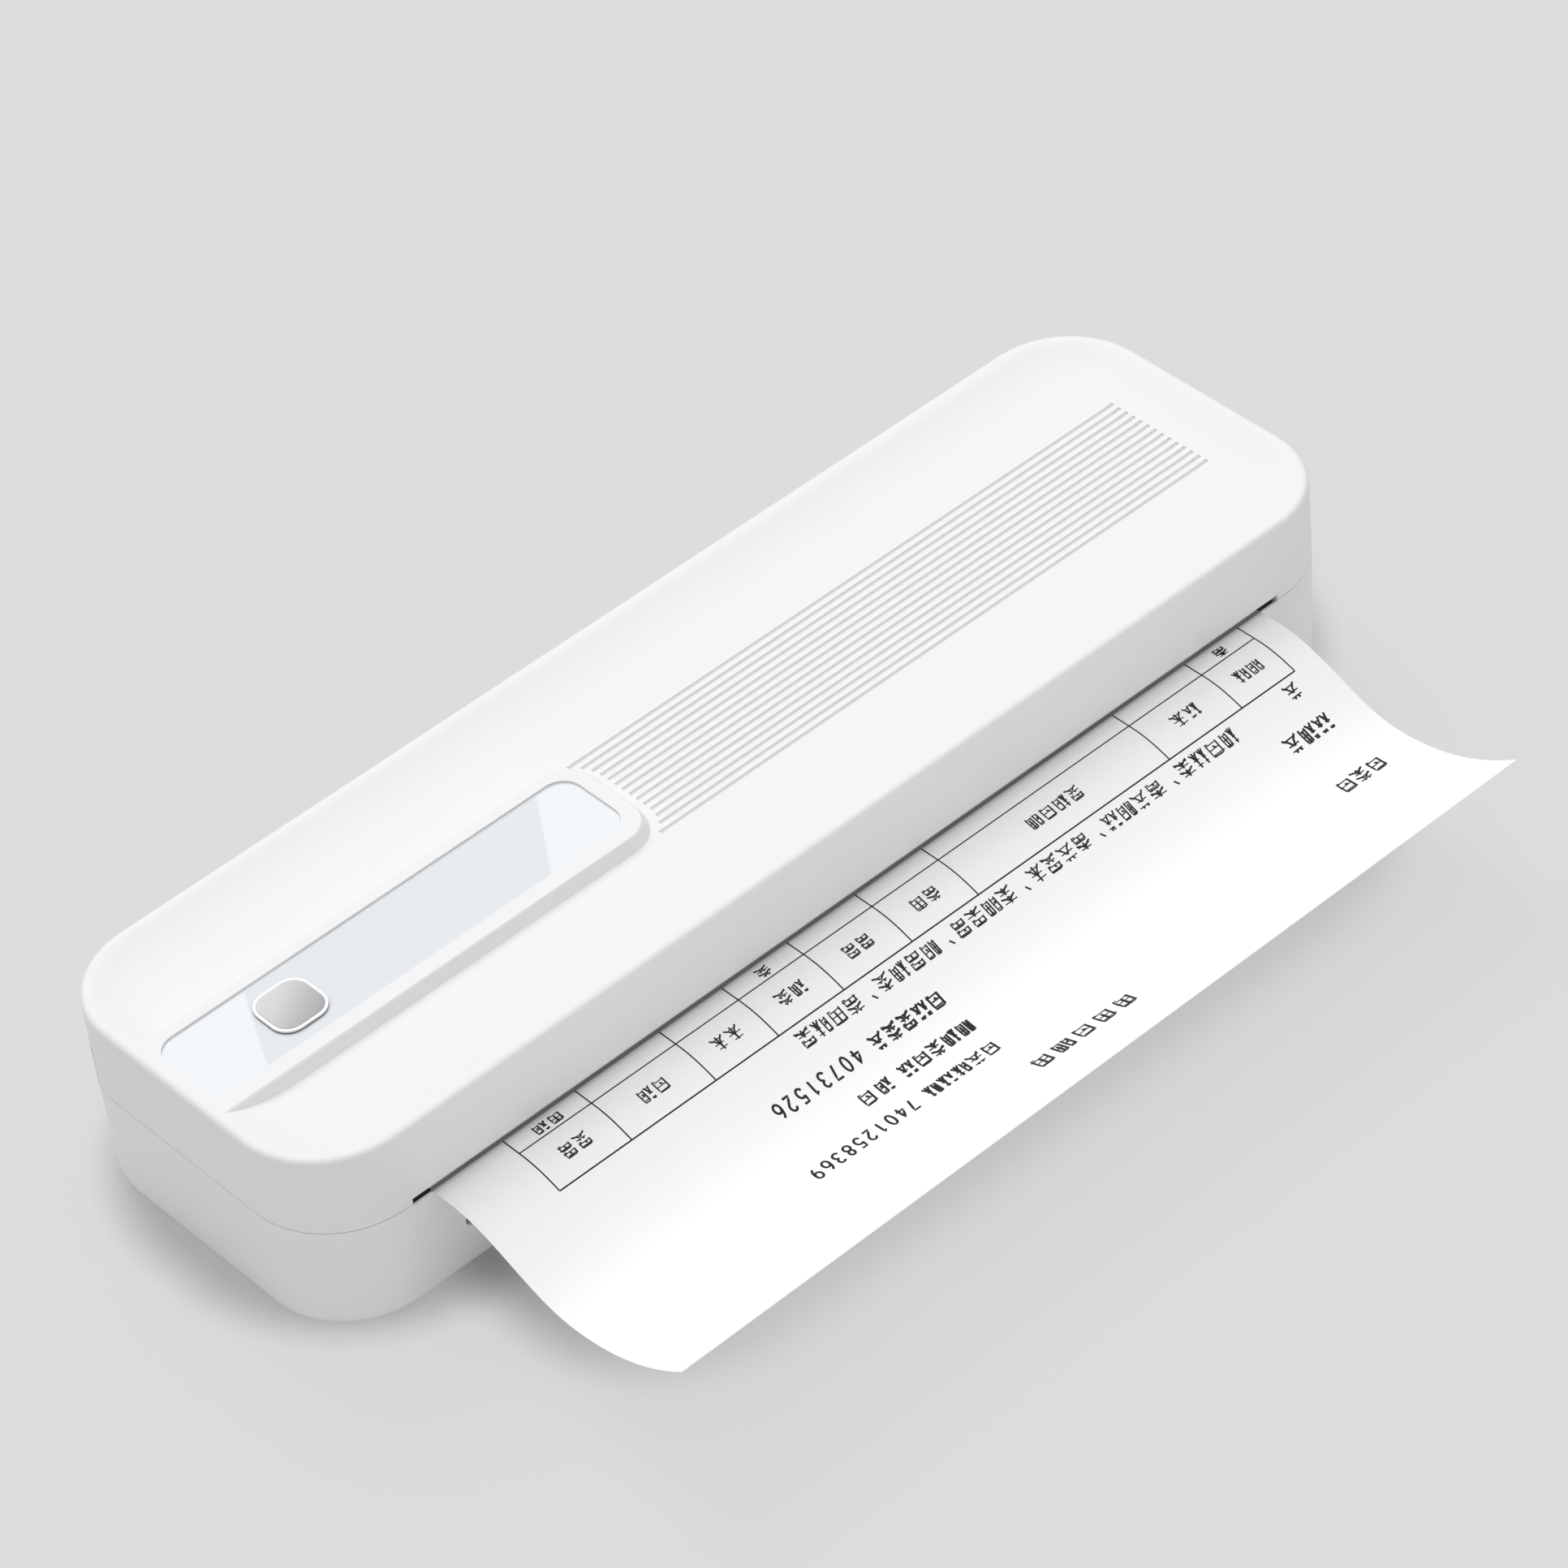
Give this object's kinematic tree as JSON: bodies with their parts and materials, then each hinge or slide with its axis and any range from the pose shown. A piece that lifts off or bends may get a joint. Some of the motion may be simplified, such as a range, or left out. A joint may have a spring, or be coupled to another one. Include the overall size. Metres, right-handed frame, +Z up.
{
  "type": "portable thermal printer",
  "caption": "Long rounded portable printer: a hinged cover with a dished top, raised panel, button and grip grooves over a paper roll, and a sheet curling out of the front slot",
  "frame": {"origin": "centre of the casing's outline, on its flat underside, with the rubber feet standing 0.8 mm below it", "axes": "X along the casing with the grooved end at +X, -Y out of the paper slot in the front, Z up"},
  "size_m": [0.2606, 0.1451, 0.0431],
  "materials": {
    "casing": "fine satin",
    "foot_rubber": "matte",
    "steel": "satin",
    "frame_plastic": "matte",
    "bush_plastic": "satin",
    "sensor_plastic": "gloss",
    "cell_sleeve": "shrink sleeve",
    "board_green": "solder mask",
    "chip_black": "matte",
    "socket_steel": "satin",
    "motor_steel": "satin",
    "paper": "coated thermal paper",
    "platen_rubber": "matte",
    "gear_plastic": "satin",
    "brass": "satin",
    "core_board": "plain board",
    "insert_gloss": "gloss",
    "bezel_white": "gloss",
    "button_satin": "satin",
    "sink_aluminium": "milled",
    "ceramic": "glazed ceramic"
  },
  "bodies": {
    "base": {"base_shell": "casing", "rubber_feet": "foot_rubber", "base_screws": "steel", "inner_frame": "frame_plastic", "hinge_pins": "steel", "platen_bushes": "bush_plastic", "paper_sensor": "sensor_plastic", "battery_cells": "cell_sleeve", "main_board": "board_green", "board_chips": "chip_black", "board_screws": "steel", "usb_socket": "socket_steel", "motor_can": "motor_steel", "motor_screws": "steel", "idler_axle": "steel", "paper_sheet": "paper"},
    "platen": {"platen_rubber": "platen_rubber", "platen_shaft": "steel", "platen_gear": "gear_plastic"},
    "idler": {"idler_gear": "gear_plastic"},
    "motor": {"motor_shaft": "steel", "motor_pinion": "brass"},
    "roll": {"paper_roll": "paper", "roll_core": "core_board"},
    "cover": {"cover_shell": "casing", "cover_frame": "frame_plastic", "cover_screws": "steel", "panel_insert": "insert_gloss", "button_bezel": "bezel_white", "switch_board": "board_green", "power_switch": "socket_steel", "cover_latches": "steel", "pivot_pins": "steel", "head_springs": "steel"},
    "head": {"head_bracket": "motor_steel", "heat_sink": "sink_aluminium", "head_ceramic": "ceramic"},
    "button": {"power_button": "button_satin", "switch_plunger": "chip_black"}
  },
  "joints": [
    {"name": "cover_hinge", "type": "hinge", "parent": "base", "child": "cover", "pos_m": [0, 0.035, 0.0282], "axis": [-1, 0, 0], "range_deg": [0, 90], "deforming": ["cover_latches"]},
    {"name": "platen_spin", "type": "hinge", "parent": "base", "child": "platen", "pos_m": [0, -0.027, 0.0189], "axis": [1, 0, 0], "continuous": true},
    {"name": "idler_spin", "type": "hinge", "parent": "base", "child": "idler", "pos_m": [0, -0.01981, 0.01125], "axis": [1, 0, 0], "continuous": true},
    {"name": "motor_spin", "type": "hinge", "parent": "base", "child": "motor", "pos_m": [0, -0.00935, 0.0122], "axis": [1, 0, 0], "continuous": true},
    {"name": "roll_spin", "type": "hinge", "parent": "base", "child": "roll", "pos_m": [0, 0.0176, 0.019], "axis": [1, 0, 0], "continuous": true},
    {"name": "head_pivot", "type": "hinge", "parent": "cover", "child": "head", "pos_m": [0, -0.01205, 0.03003], "axis": [-1, 0, 0], "range_deg": [0, 2], "stiffness_Nm_per_rad": 1.5, "springref_deg": -11.46, "deforming": ["head_springs"]},
    {"name": "button_press", "type": "slide", "parent": "cover", "child": "button", "axis": [0, 0, -1], "range_m": [0, 0.0005], "stiffness_N_per_m": 2500, "springref_m": -0.0002}
  ],
  "couplings": [
    {"joint": "platen_spin", "follows": "roll_spin", "ratio": 2.9},
    {"joint": "idler_spin", "follows": "roll_spin", "ratio": -5.8},
    {"joint": "motor_spin", "follows": "roll_spin", "ratio": 14.5}
  ]
}
